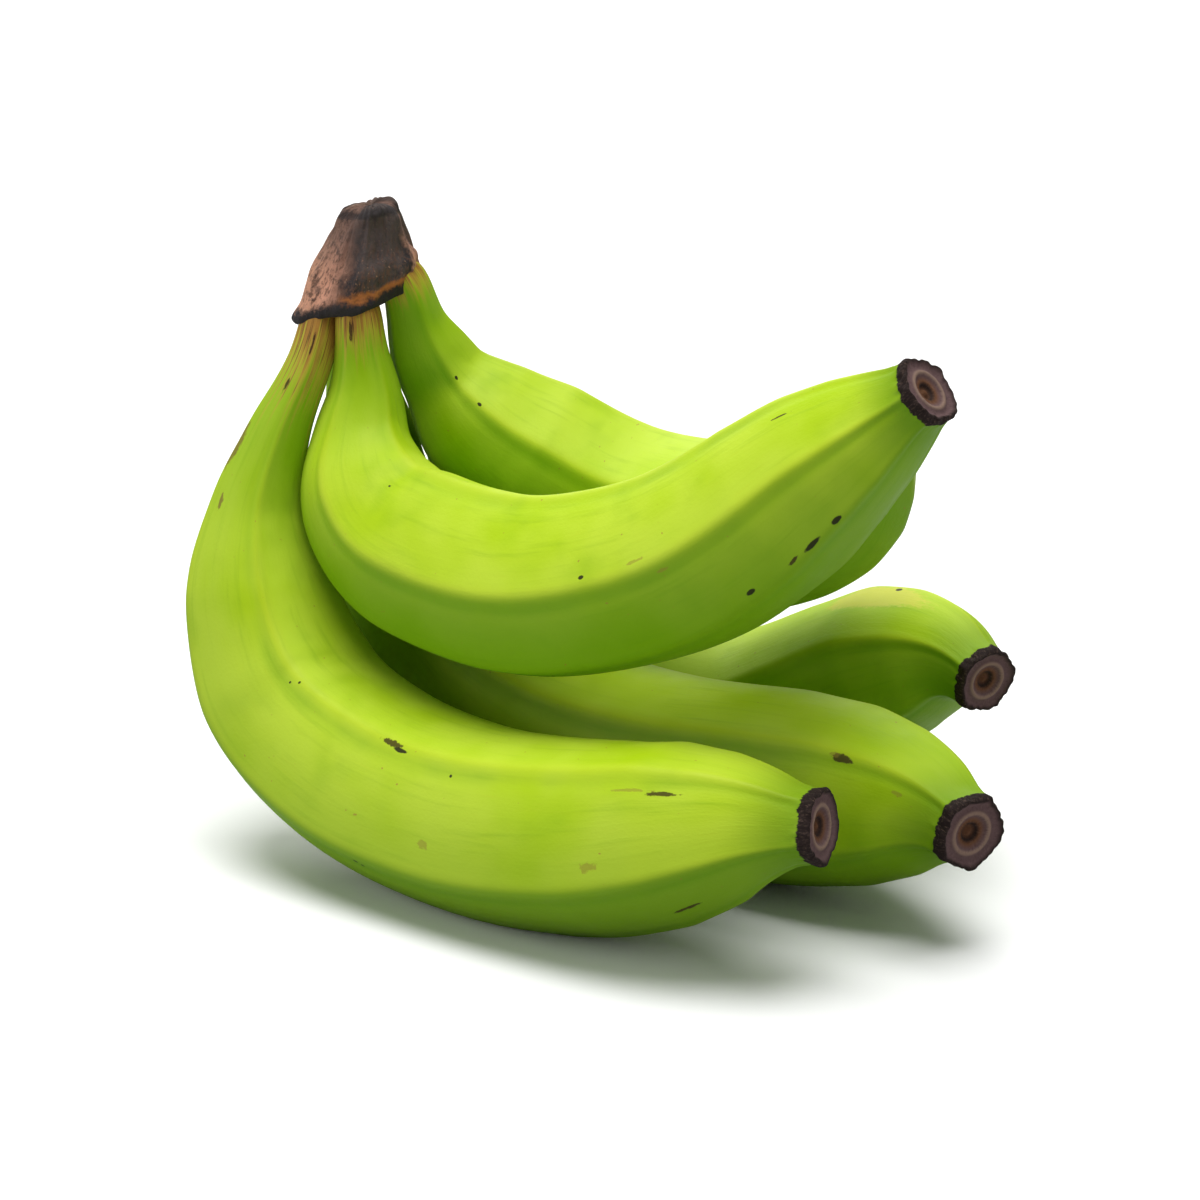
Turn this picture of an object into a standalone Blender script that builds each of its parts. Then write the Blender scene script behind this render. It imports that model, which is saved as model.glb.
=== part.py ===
"""A hand of five green bananas, joined at the dried crown where it was cut from the stalk.

Metres, +Z up. +X is the way the tips point, +Y runs across the hand, and the bunch lies on z = 0 on the
bellies of its three outer fruit. Each fruit grew as one piece with its neck and its dried tip, so each is
one solid. Their necks are let into the crown with a small gap all round.
"""

import math

import bmesh
import bpy
from mathutils import Vector

MM = 0.001  # lengths below are in millimetres
GAP = 0.3  # between a neck and its socket in the crown
BASE_CENTRE = Vector((0.6, 13.1, 0.0))  # centre of the bunch's outline, seen from above, in the hand's own frame

# ---- driving dimensions of a fruit ------------------------------------------------------------------------------

RINGS = 34  # sections along a fruit
SIDES = 18  # points round a section
RIDGE_SHARE = 0.6  # 0 is a round section, 1 a sharp-edged five-sided one
ROUNDING = 10  # power that rounds the corners of the five-sided section
TIP_RECESS = ((0.72, 0.0), (0.6, -1.2), (0.3, -1.4))  # share of the tip's radius, and height over its rim
SPINE_STEPS = 12  # curve points read between two spine points


def thickness(neck, slimness, end):
    """(share of the length, share of the calibre): a thin neck, a full body, and a short taper to the tip."""
    half = (1 + end) / 2
    return (
        (0.0, 0.17),
        (0.02, 0.215 * slimness),
        (0.35 * neck, 0.24 * slimness),
        (0.5 * neck, 0.27 * slimness),
        (0.75 * neck, 0.37 * slimness),
        (neck, 0.53),
        (neck + 0.04, 0.70),
        (neck + 0.07, 0.80),
        (neck + 0.16, 0.96),
        (neck + 0.28, 1.0),
        (0.70, (3 + end) / 4),
        (0.79, 0.97 * half),
        (0.86, 0.88 * end),
        (0.915, 0.70 * end),
        (0.955, 0.50 * half),
        (0.98, 0.385),
        (1.0, 0.35),
    )


# Each fruit: calibre is its thickness at the middle, neck the share of its length that is neck, slimness a
# factor on the neck's thickness, end a factor on the thickness of its last third, ridges the degrees round its
# section, from the inside of the bend, where its five faces meet, and spine its centre line from the crown to
# the tip.
FRUIT = {
    "banana_outer_near": {
        "calibre": 41,
        "neck": 0.22,
        "slimness": 0.84,
        "end": 1.03,
        "ridges": (48, 122, 194, 266, 338),
        "colour": (0.42, 0.60, 0.06, 1),
        "spine": (
            (-67.3, -6.5, 115), (-66.4, -12.8, 101), (-70.3, -19.3, 85), (-72.4, -23.7, 69), (-69, -26.3, 50),
            (-57.2, -28.5, 31), (-35, -30.2, 21), (-5, -31, 18), (24, -30, 21.5), (46, -28, 27.5),
            (60, -26, 31.5), (73, -23, 33),
        ),
    },
    "banana_outer_middle": {
        "calibre": 43,
        "neck": 0.20,
        "slimness": 1.0,
        "end": 1.0,
        "ridges": (34, 108, 180, 252, 324),
        "colour": (0.30, 0.47, 0.03, 1),
        "spine": (
            (-73, 3, 115), (-73, 6, 101), (-72, 8, 85), (-69, 10, 67), (-62, 11, 48), (-48, 13, 31),
            (-25, 15, 20.5), (6, 16, 18.2), (36, 16, 21.5), (58, 16, 24.5), (72, 14, 26), (84, 10, 25),
        ),
    },
    "banana_outer_far": {
        "calibre": 39,
        "neck": 0.22,
        "slimness": 1.0,
        "end": 1.0,
        "ridges": (34, 108, 180, 252, 324),
        "colour": (0.46, 0.58, 0.07, 1),
        "spine": (
            (-63.3, 6.5, 120), (-64, 9.5, 115), (-67, 20, 101), (-69, 31, 86), (-66, 41, 68), (-58, 49, 48),
            (-45, 54, 30), (-27, 55, 18.8), (-7, 57, 17.5), (14, 58, 27), (33, 57, 38), (48, 54, 43),
            (60, 50, 41),
        ),
    },
    "banana_inner_near": {
        "calibre": 40,
        "neck": 0.16,
        "slimness": 1.0,
        "end": 0.90,
        "ridges": (20, 92, 145, 220, 300),
        "colour": (0.38, 0.60, 0.05, 1),
        "spine": (
            (-58, -8, 115), (-58, -7, 103), (-57, -7, 93), (-55.5, -9.5, 84), (-51, -12, 75),
            (-42.5, -13, 67.5), (-28, -12.5, 63.2), (-6, -11, 62), (12, -9, 66), (29, -6, 73), (42, -2, 82.5),
            (52, 1, 92), (63, 4, 101.5), (75, 5, 111),
        ),
    },
    "banana_inner_far": {
        "calibre": 38,
        "neck": 0.18,
        "slimness": 1.0,
        "end": 1.0,
        "ridges": (30, 104, 178, 250, 322),
        "colour": (0.44, 0.60, 0.08, 1),
        "spine": (
            (-57.6, 1.5, 120), (-55.2, 3, 115), (-55, 7, 104), (-53, 12, 94), (-46.5, 17.5, 84), (-36, 25, 75),
            (-21, 32, 67), (-4, 36, 65), (11, 37, 67), (23, 36, 73), (33, 34, 81), (42, 31, 89), (50, 27, 97),
        ),
    },
}

# ---- driving dimensions of the crown ----------------------------------------------------------------------------

CROWN_CENTRE = (-64, 0)  # of its underside; the five necks stand round it
CROWN_TOP_SHIFT = (2, 1)  # how far the cut top leans from the centre
CROWN_TILT = 54  # degrees, the direction in which the foot of the crown rises
CROWN_TILT_SLOPE = 0.31  # rise of the foot for each millimetre in that direction
CROWN_FOOT_LIFT = 1.5  # the foot's middle over the lowest level below
CROWN_POINTS = 30  # round one outline
CROWN_LOBE_ANGLES = (-114, -53, 18, 90, 162)  # degrees, the directions of the five necks
CROWN_LOBE_WIDTH = 26  # degrees, from a lobe's crest to where it has fallen away
CROWN_LEVELS = (  # height, mean radius, height of the lobes
    (110, 12.6, 1.4),
    (112.5, 13.4, 1.6),
    (116, 12.0, 1.2),
    (120, 10.2, 0.9),
    (125, 8.4, 0.6),
    (129, 6.9, 0.4),
    (131.5, 5.6, 0.3),
)
CROWN_COLOUR = (0.10, 0.065, 0.05, 1)


def clear_scene():
    for obj in list(bpy.data.objects):
        bpy.data.objects.remove(obj, do_unlink=True)


def material(name, colour, roughness):
    made = bpy.data.materials.new(name)
    made.use_nodes = True
    shader = made.node_tree.nodes["Principled BSDF"]
    shader.inputs["Base Color"].default_value = colour
    shader.inputs["Roughness"].default_value = roughness
    shader.inputs["Metallic"].default_value = 0.0
    return made


def interpolate(knots, share):
    """The value at a share, on straight lines between (share, value) knots."""
    for (low, first), (high, second) in zip(knots, knots[1:]):
        if share <= high:
            t = (share - low) / (high - low)
            return first + (second - first) * t
    return knots[-1][1]


def smooth_curve(points):
    """Points along a Catmull-Rom curve through the spine's points, which takes their spacing into account."""
    route = [Vector(p) for p in points]
    route = [2 * route[0] - route[1]] + route + [2 * route[-1] - route[-2]]
    made = []
    for before, start, stop, after in zip(route, route[1:], route[2:], route[3:]):
        t0 = 0.0
        t1 = t0 + math.sqrt((start - before).length)
        t2 = t1 + math.sqrt((stop - start).length)
        t3 = t2 + math.sqrt((after - stop).length)
        for step in range(SPINE_STEPS):
            t = t1 + (t2 - t1) * step / SPINE_STEPS
            a = before.lerp(start, (t - t0) / (t1 - t0))
            b = start.lerp(stop, (t - t1) / (t2 - t1))
            c = stop.lerp(after, (t - t2) / (t3 - t2))
            d = a.lerp(b, (t - t0) / (t2 - t0))
            e = b.lerp(c, (t - t1) / (t3 - t1))
            made.append(d.lerp(e, (t - t1) / (t2 - t1)))
    made.append(route[-2])
    return made


def stations(points, count):
    """(share of the length, place) of count points evenly spaced along a smooth curve through the points."""
    curve = smooth_curve(points)
    travelled = [0.0]
    for here, there in zip(curve, curve[1:]):
        travelled.append(travelled[-1] + (there - here).length)
    found = []
    segment = 0
    for k in range(count):
        share = k / (count - 1)
        wanted = share * travelled[-1]
        while segment < len(curve) - 2 and travelled[segment + 1] < wanted:
            segment += 1
        span = travelled[segment + 1] - travelled[segment]
        found.append((share, curve[segment].lerp(curve[segment + 1], (wanted - travelled[segment]) / span)))
    return found


def section_radius(angle, ridges):
    """Radius of the ridged section at an angle in degrees, as a share of a round one's."""
    total = 0.0
    for k, ridge in enumerate(ridges):
        following = ridges[(k + 1) % len(ridges)]
        width = (following - ridge) % 360
        off = math.radians(angle - ridge - width / 2)
        total += (max(0.0, math.cos(off)) / math.cos(math.radians(width / 2))) ** ROUNDING
    return 1 - RIDGE_SHARE + RIDGE_SHARE * total ** (-1 / ROUNDING)


def bend_normal(points):
    """The direction square to the plane in which a fruit bends."""
    first, middle, last = (Vector(points[k]) for k in (0, len(points) // 2, -1))
    return (middle - first).cross(last - middle).normalized()


def add_ring(bm, centre, inward, sideways, radius, ridges):
    ring = []
    for k in range(SIDES):
        angle = 360 * (k + 0.5) / SIDES
        reach = radius * section_radius(angle, ridges)
        turn = math.radians(angle)
        ring.append(bm.verts.new(centre + reach * (math.cos(turn) * inward + math.sin(turn) * sideways)))
    return ring


def join_rings(bm, rings):
    """Walls from ring to ring, and a flat cap on the first and the last."""
    for lower, upper in zip(rings, rings[1:]):
        for k in range(len(lower)):
            following = (k + 1) % len(lower)
            bm.faces.new((lower[k], lower[following], upper[following], upper[k]))
    bm.faces.new(rings[0][::-1])
    bm.faces.new(rings[-1])
    bmesh.ops.recalc_face_normals(bm, faces=bm.faces)


def finished(name, bm, made_of):
    """The named object of a mesh built in millimetres in the hand's frame."""
    for vertex in bm.verts:
        vertex.co = (vertex.co - BASE_CENTRE) * MM
    mesh = bpy.data.meshes.new(name)
    bm.to_mesh(mesh)
    bm.free()
    mesh.materials.append(made_of)
    mesh.shade_smooth()
    obj = bpy.data.objects.new(name, mesh)
    bpy.context.collection.objects.link(obj)
    return obj


def fruit(name, calibre, neck, slimness, end, ridges, colour, spine):
    bm = bmesh.new()
    sideways = bend_normal(spine)
    knots = thickness(neck, slimness, end)
    places = stations(spine, RINGS)
    rings = []
    for k, (share, centre) in enumerate(places):
        ahead = places[min(k + 1, RINGS - 1)][1] - places[max(k - 1, 0)][1]
        ahead.normalize()
        across = (sideways - ahead * sideways.dot(ahead)).normalized()
        inward = across.cross(ahead)
        rings.append(add_ring(bm, centre, inward, across, interpolate(knots, share) * calibre / 2, ridges))
    for share, height in TIP_RECESS:
        radius = knots[-1][1] * calibre / 2 * share
        rings.append(add_ring(bm, places[-1][1] + ahead * height, inward, across, radius, ridges))
    join_rings(bm, rings)
    for vertex in bm.verts:  # the belly is pressed flat where it bears on the table
        vertex.co.z = max(vertex.co.z, 0.0)
    return finished(name, bm, material(name + "_skin", colour, 0.45))


def crown_radius(angle, mean, lobe):
    """Radius of the crown's outline: a lobe over each neck."""
    reach = mean
    for crest in CROWN_LOBE_ANGLES:
        off = (angle - crest + 180) % 360 - 180
        reach += lobe * math.exp(-((off / CROWN_LOBE_WIDTH) ** 2))
    return reach


def crown():
    bm = bmesh.new()
    bottom, top = CROWN_LEVELS[0][0], CROWN_LEVELS[-1][0]
    rings = []
    for height, mean, lobe in CROWN_LEVELS:
        lean = (height - bottom) / (top - bottom)
        ring = []
        for k in range(CROWN_POINTS):
            angle = 360 * k / CROWN_POINTS
            reach = crown_radius(angle, mean, lobe)
            turn = math.radians(angle)
            x = CROWN_CENTRE[0] + CROWN_TOP_SHIFT[0] * lean + reach * math.cos(turn)
            y = CROWN_CENTRE[1] + CROWN_TOP_SHIFT[1] * lean + reach * math.sin(turn)
            rise = CROWN_FOOT_LIFT + CROWN_TILT_SLOPE * reach * math.cos(turn - math.radians(CROWN_TILT))
            ring.append(bm.verts.new((x, y, height + (1 - lean) * rise)))
        rings.append(ring)
    join_rings(bm, rings)
    return finished("crown", bm, material("crown_dried", CROWN_COLOUR, 0.9))


def socket(piece, neck_of, calibre, neck, slimness, end, ridges, spine):
    """Cuts the hollow for one neck from the crown: the neck's own shape, larger by the gap all round."""
    bm = bmesh.new()
    sideways = bend_normal(spine)
    knots = thickness(neck, slimness, end)
    places = stations(spine, RINGS)[:5]
    ahead = (places[1][1] - places[0][1]).normalized()
    rings = []
    for k, (share, centre) in enumerate([(0.0, places[0][1] - ahead * GAP)] + places):
        if k:
            last = min(k, len(places) - 1)
            ahead = (places[last][1] - places[max(k - 2, 0)][1]).normalized()
        across = (sideways - ahead * sideways.dot(ahead)).normalized()
        radius = interpolate(knots, share) * calibre / 2 + GAP
        rings.append(add_ring(bm, centre, across.cross(ahead), across, radius, ridges))
    join_rings(bm, rings)
    cutter = finished("cutter_" + neck_of, bm, piece.data.materials[0])
    cutter.hide_render = True
    cutter.display_type = "WIRE"
    cut = piece.modifiers.new("socket_" + neck_of, "BOOLEAN")
    cut.operation = "DIFFERENCE"
    cut.solver = "EXACT"
    cut.object = cutter


def main():
    clear_scene()
    top = crown()
    for name, size in FRUIT.items():
        fruit(name, **size)
        neck_size = {key: size[key] for key in size if key != "colour"}
        socket(top, name, **neck_size)


main()
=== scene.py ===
# %% [markdown]
# # A hand of green bananas
# This lesson dresses a hand of five unripe bananas that lies on a table on the bellies of its outer fruit.
# The solid model of the hand is loaded first and fixes every size and place. Each fruit is then made again
# as a finer mesh along the same centre line, the dried crown that joins them is shaped, and both get skins
# made of nodes only. Every cell below makes one thing and prints what it made.

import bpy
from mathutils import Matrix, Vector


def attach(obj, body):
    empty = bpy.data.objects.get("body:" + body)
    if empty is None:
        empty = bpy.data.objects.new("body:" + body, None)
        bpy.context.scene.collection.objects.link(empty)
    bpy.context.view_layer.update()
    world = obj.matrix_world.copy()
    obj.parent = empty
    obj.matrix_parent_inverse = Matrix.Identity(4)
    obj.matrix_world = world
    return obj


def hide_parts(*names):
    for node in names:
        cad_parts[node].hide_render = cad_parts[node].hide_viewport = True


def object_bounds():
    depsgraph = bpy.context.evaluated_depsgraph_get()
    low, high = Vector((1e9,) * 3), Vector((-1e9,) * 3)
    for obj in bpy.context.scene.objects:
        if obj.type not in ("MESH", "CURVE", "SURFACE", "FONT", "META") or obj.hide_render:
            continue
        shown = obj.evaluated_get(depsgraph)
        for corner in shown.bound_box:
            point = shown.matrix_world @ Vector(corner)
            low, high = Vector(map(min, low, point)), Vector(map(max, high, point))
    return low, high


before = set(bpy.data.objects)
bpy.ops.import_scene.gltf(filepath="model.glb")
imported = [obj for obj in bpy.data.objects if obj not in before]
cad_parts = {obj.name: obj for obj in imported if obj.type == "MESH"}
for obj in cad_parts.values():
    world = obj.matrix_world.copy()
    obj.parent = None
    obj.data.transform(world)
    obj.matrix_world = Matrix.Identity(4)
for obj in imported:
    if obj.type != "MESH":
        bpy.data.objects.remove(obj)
cad_low, cad_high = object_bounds()
print("CAD nodes:", ", ".join(sorted(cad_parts)))

# %% Modules and units
import math

import bpy
from mathutils import Vector, noise

MM = 0.001  # the shapes below are given in millimetres, and Blender works in metres
HAND_CENTRE = Vector((0.6, 13.1, 0.0))  # the frame's origin, in the frame the centre lines are given in
print("CAD box, m:", [round(x, 4) for x in (*cad_low, *cad_high)])

# %% [markdown]
# ## Camera
# A small thing such as a hand of bananas is shown from a little above table height, with a long lens, so
# that the near fruit doesn't swell. The camera could be placed by typing a location and angles. Here it is
# placed by a turn round the bunch and a rise over the table, which is how one thinks about a view, and it
# looks at a point a little nearer and lower than the middle of the bunch's box.

# %% Camera
VIEW_TURN = math.radians(40)
VIEW_RISE = math.radians(16)
VIEW_DISTANCE = 0.70
LENS_MM = 105

aim = (cad_low + cad_high) / 2 + Vector((-0.0006, -0.0131, -0.0078))
backwards = Vector((
    math.sin(VIEW_TURN) * math.cos(VIEW_RISE),
    -math.cos(VIEW_TURN) * math.cos(VIEW_RISE),
    math.sin(VIEW_RISE),
))
bpy.ops.object.camera_add(
    location=aim + backwards * VIEW_DISTANCE,
    rotation=backwards.to_track_quat("Z", "Y").to_euler(),
)
camera = bpy.context.object
camera.data.lens = LENS_MM
camera.data.clip_start = 0.01
bpy.context.scene.camera = camera
print("camera at", [round(x, 3) for x in camera.location])

# %% [markdown]
# ## Floor and light
# A product table is a white sweep, lit so evenly that it reads as plain white, with only a soft shadow
# where the fruit touches it. An area lamp close by would leave a bright pool and a grey rim. A sun lamp
# with a wide angle lights the whole table alike and still casts a soft shadow. The strongest stands
# overhead, one behind and one low on the left light the edges, and a weak one in front keeps the near
# faces from going black.

# %% Floor
FLOOR_SIZE = 12.0
FLOOR_WHITE = (0.98, 0.98, 0.98)  # as it is seen
FLOOR_GLOW = (0.50, 0.50, 0.50)  # as it lights the fruit, so that their undersides stay deep green


def plain_material(name, colour, roughness):
    """A material with one shader, and that shader."""
    made = bpy.data.materials.new(name)
    made.use_nodes = True
    shader = made.node_tree.nodes["Principled BSDF"]
    shader.inputs["Base Color"].default_value = (*colour, 1.0)
    shader.inputs["Roughness"].default_value = roughness
    return made, shader


bpy.ops.object.select_all(action="DESELECT")
bpy.ops.mesh.primitive_plane_add(size=FLOOR_SIZE, location=(0, 0, 0))
floor = bpy.context.object
floor.name = "studio_floor"
floor_paint, floor_shader = plain_material("studio_floor_paint", FLOOR_GLOW, 0.9)
floor_shader.inputs["Specular IOR Level"].default_value = 0.0
floor_path = floor_paint.node_tree.nodes.new("ShaderNodeLightPath")
floor_tone = floor_paint.node_tree.nodes.new("ShaderNodeMix")
floor_tone.data_type = "RGBA"
floor_tone.inputs["A"].default_value = (*FLOOR_GLOW, 1.0)
floor_tone.inputs["B"].default_value = (*FLOOR_WHITE, 1.0)
floor_paint.node_tree.links.new(floor_path.outputs["Is Camera Ray"], floor_tone.inputs["Factor"])
floor_paint.node_tree.links.new(floor_tone.outputs["Result"], floor_shader.inputs["Base Color"])
floor.data.materials.append(floor_paint)
print("floor", FLOOR_SIZE, "m across")

# %% Light
TOP_STRENGTH = 3.1
BACK_STRENGTH = 1.3
LEFT_STRENGTH = 1.15
FRONT_STRENGTH = 0.5
WORLD_LIGHT = 0.03
LAMP_SPREAD = 50  # degrees of the sky that each lamp fills

side = Vector((math.cos(VIEW_TURN), math.sin(VIEW_TURN), 0.0))
near = Vector((math.sin(VIEW_TURN), -math.cos(VIEW_TURN), 0.0))
up = Vector((0.0, 0.0, 1.0))


def add_softbox(name, direction, strength):
    """A wide lamp so far off that it lights the whole table alike, shining from a direction."""
    bpy.ops.object.light_add(
        type="SUN", location=direction * 2, rotation=direction.to_track_quat("Z", "Y").to_euler())
    softbox = bpy.context.object
    softbox.name = name
    softbox.data.angle = math.radians(LAMP_SPREAD)
    softbox.data.energy = strength
    return softbox


add_softbox("top_softbox", up, TOP_STRENGTH)
add_softbox("back_softbox", -0.1 * side - near + 0.75 * up, BACK_STRENGTH)
add_softbox("left_softbox", -side + 0.2 * near + 0.3 * up, LEFT_STRENGTH)
add_softbox("front_softbox", 0.7 * side + 0.7 * near + 0.5 * up, FRONT_STRENGTH)

world = bpy.data.worlds.new("studio_air")
world.use_nodes = True
bpy.context.scene.world = world
air = world.node_tree
light_path = air.nodes.new("ShaderNodeLightPath")
seen = air.nodes.new("ShaderNodeMix")
seen.data_type = "FLOAT"
seen.inputs["A"].default_value = WORLD_LIGHT
seen.inputs["B"].default_value = 1.0
air.links.new(light_path.outputs["Is Camera Ray"], seen.inputs["Factor"])
air.links.new(seen.outputs["Result"], air.nodes["Background"].inputs["Strength"])
air.nodes["Background"].inputs["Color"].default_value = (1.0, 1.0, 1.0, 1.0)
bpy.context.scene.view_settings.view_transform = "Standard"
print("lights: top", TOP_STRENGTH, "back", BACK_STRENGTH, "left", LEFT_STRENGTH, "front", FRONT_STRENGTH)

# %% [markdown]
# ## The centre line of a fruit
# A banana is a tube on a bent line: nearly straight where it hangs from its neck, then curling up towards
# the light. The line could be a Bezier curve with a Curve modifier, but that modifier turns the section as
# it bends, and the ridges of the peel would wander. So the line is read here as points, and the section's
# own directions are worked out at each of them: towards the inside of the bend, and across it.

# %% Centre line
LINE_STEPS = 12  # points read between two given ones


def smooth_line(points):
    """Points on a curve through the given ones, which allows for their uneven spacing."""
    route = [Vector(p) for p in points]
    route = [2 * route[0] - route[1]] + route + [2 * route[-1] - route[-2]]
    made = []
    for before, start, stop, after in zip(route, route[1:], route[2:], route[3:]):
        t0 = 0.0
        t1 = t0 + math.sqrt((start - before).length)
        t2 = t1 + math.sqrt((stop - start).length)
        t3 = t2 + math.sqrt((after - stop).length)
        for step in range(LINE_STEPS):
            t = t1 + (t2 - t1) * step / LINE_STEPS
            a = before.lerp(start, (t - t0) / (t1 - t0))
            b = start.lerp(stop, (t - t1) / (t2 - t1))
            c = stop.lerp(after, (t - t2) / (t3 - t2))
            d = a.lerp(b, (t - t0) / (t2 - t0))
            e = b.lerp(c, (t - t1) / (t3 - t1))
            made.append(d.lerp(e, (t - t1) / (t2 - t1)))
    made.append(route[-2])
    return made


def places_along(points, shares):
    """The place on the smooth line at each share of its length, and the line's length."""
    line = smooth_line(points)
    travelled = [0.0]
    for here, there in zip(line, line[1:]):
        travelled.append(travelled[-1] + (there - here).length)
    found = []
    segment = 0
    for share in shares:
        wanted = share * travelled[-1]
        while segment < len(line) - 2 and travelled[segment + 1] < wanted:
            segment += 1
        span = travelled[segment + 1] - travelled[segment]
        found.append(line[segment].lerp(line[segment + 1], (wanted - travelled[segment]) / span))
    return found, travelled[-1]


def between(knots, share):
    """The value at a share, on straight lines between (share, value) knots."""
    for (low, first), (high, second) in zip(knots, knots[1:]):
        if share <= high:
            return first + (second - first) * (share - low) / (high - low)
    return knots[-1][1]


def eased(low, high, value):
    """0 below low and 1 above high, with a smooth step between them."""
    t = min(max((value - low) / (high - low), 0.0), 1.0)
    return t * t * (3 - 2 * t)


print("a line of 5 points is read at", len(smooth_line([(0, 0, k) for k in range(5)])), "places")

# %% [markdown]
# ## The section of a fruit
# A green banana isn't round. Its peel has five flat faces that meet in soft ridges, and an unripe fruit
# shows them clearly. A bevelled five-sided circle would give hard edges of one width. Here each face pulls
# the section towards its own flat, and a power blends the five, which leaves ridges as soft as that power
# says. A narrow raised line on each ridge catches the light as the real one does, over a shallow furrow.

# %% Section
AROUND = 96  # points round a fruit
EVEN_RIDGES = (48, 122, 194, 266, 338)  # degrees, from the inside of the bend towards the near side
RIDGE_POWER = 18
CREST_WIDTH = 4.5  # degrees
# The darker line below a ridge is painted shade in the peel, over a shallow furrow in the shape.
FURROW_OFFSET = 8.5  # degrees from a ridge to the darker line below it


def flat_sided(angle, corners, power):
    """Radius at an angle of a polygon with these corners, rounded by the power, about 1 at a corner."""
    total = 0.0
    for k, corner in enumerate(corners):
        width = (corners[(k + 1) % len(corners)] - corner) % 360
        off = math.radians(angle - corner - width / 2)
        total += (max(0.0, math.cos(off)) / math.cos(math.radians(width / 2))) ** power
    return total ** (-1 / power)


def crest_at(angle, ridges):
    """1 on a ridge, falling to 0 beside it."""
    off = min(abs((angle - ridge + 180) % 360 - 180) for ridge in ridges)
    return math.exp(-((off / CREST_WIDTH) ** 2))


def furrow_at(angle, ridges):
    """1 on the line just under a ridge, on the side that faces the belly."""
    belly_side = 1 if angle < 180 else -1
    return crest_at(angle - belly_side * FURROW_OFFSET, ridges)


print("section radius on a ridge and on a face:",
      round(flat_sided(48, EVEN_RIDGES, RIDGE_POWER), 3), round(flat_sided(85, EVEN_RIDGES, RIDGE_POWER), 3))

# %% [markdown]
# ## The shape of a fruit along its length
# The neck is thin, the body reaches its calibre quickly, and the far end tapers over a few centimetres to
# a dried stub where the flower sat. The bodies have the solid model's thicknesses, so the fine fruit lies
# in the solid's place. Most necks are a little thicker here, because solids must stay apart and real necks
# press on each other. The stub's face has a rim, a groove, a paler ring and a pit, and each is one more
# ring of points.

# %% Thickness, and the rings of the stub
FACE_RINGS = (  # share of the stub's radius, and height over its rim in millimetres
    (0.96, 0.25),
    (0.90, 0.15),
    (0.84, -0.35),
    (0.76, -0.55),
    (0.66, -0.45),
    (0.60, -0.10),
    (0.53, -0.15),
    (0.46, -0.75),
    (0.36, -0.95),
    (0.28, -0.80),
    (0.21, -1.7),
    (0.13, -1.9),
    (0.07, -1.3),
    (0.01, -1.1),
)
FACE_SPAN = 0.05  # the stub's face takes this much more of the peel's map, from its rim to its middle
SEGMENTS = 101
BODY_SEGMENTS = SEGMENTS - len(FACE_RINGS)
SLOWING = 1.3  # rings lie closer together towards the tip, where the shape changes fastest


def thickness(neck, slimness, end):
    """(share of the length, share of the calibre): a thin neck, a full body, a short taper and the stub."""
    half = (1 + end) / 2
    return (
        (0.0, 0.17),
        (0.02, 0.215 * slimness),
        (0.35 * neck, 0.24 * slimness),
        (0.5 * neck, 0.27 * slimness),
        (0.75 * neck, 0.37 * slimness),
        (neck, 0.53),
        (neck + 0.04, 0.70),
        (neck + 0.07, 0.80),
        (neck + 0.16, 0.96),
        (neck + 0.28, 1.0),
        (0.70, (3 + end) / 4),
        (0.79, 0.97 * half),
        (0.86, 0.88 * end),
        (0.915, 0.70 * end),
        (0.955, 0.50 * half),
        (0.976, 0.39),
        (0.988, 0.365),
        (0.992, 0.375),
        (0.996, 0.385),
        (1.0, 0.37),
    )


body_shares = [1 - (1 - k / BODY_SEGMENTS) ** SLOWING for k in range(BODY_SEGMENTS + 1)]
print("last rings of the body at", [round(share, 4) for share in body_shares[-4:]])

# %% [markdown]
# ## From a cylinder to a fruit
# The fruit starts as a primitive cylinder without ends. Its long edges are selected by their direction and
# subdivided into rings, and because the cylinder brings a map of its own, with u running round and v
# along, the peel's pattern will follow the fruit however it is bent. Then each ring is laid on the centre
# line at its thickness, the two ends are collapsed to close them, and one level of subdivision smooths the
# whole.

# %% A straight tube of rings
TUBE_LENGTH = 0.2
TUBE_RADIUS = 0.02


def select_in(mesh, kind, chosen):
    """Selects only the chosen vertices or edges of a mesh, for the next edit-mode operator."""
    bpy.ops.object.mode_set(mode="EDIT")
    bpy.ops.mesh.select_mode(type=kind)
    bpy.ops.mesh.select_all(action="DESELECT")
    bpy.ops.object.mode_set(mode="OBJECT")
    items = mesh.vertices if kind == "VERT" else mesh.edges
    for item in items:
        item.select = chosen(item)
    bpy.ops.object.mode_set(mode="EDIT")


def ringed_tube(name, around, segments):
    """A straight open tube of square faces, as the selected object."""
    bpy.ops.object.select_all(action="DESELECT")
    bpy.ops.mesh.primitive_cylinder_add(
        vertices=around, radius=TUBE_RADIUS, depth=TUBE_LENGTH, end_fill_type="NOTHING")
    tube = bpy.context.object
    tube.name = tube.data.name = name
    mesh = tube.data

    def runs_along(edge):
        low, high = (mesh.vertices[k].co.z for k in edge.vertices)
        return abs(high - low) > TUBE_LENGTH / 2

    select_in(mesh, "EDGE", runs_along)
    bpy.ops.mesh.subdivide(number_cuts=segments - 1)
    bpy.ops.object.mode_set(mode="OBJECT")
    return tube


def ring_and_side(place, around, segments):
    """Which ring a point of the straight tube is on, and which point of the ring it is."""
    ring = round((place.z / TUBE_LENGTH + 0.5) * segments)
    side = round((math.atan2(place.y, place.x) / math.tau - 0.25) * around) % around
    return ring, side


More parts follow.
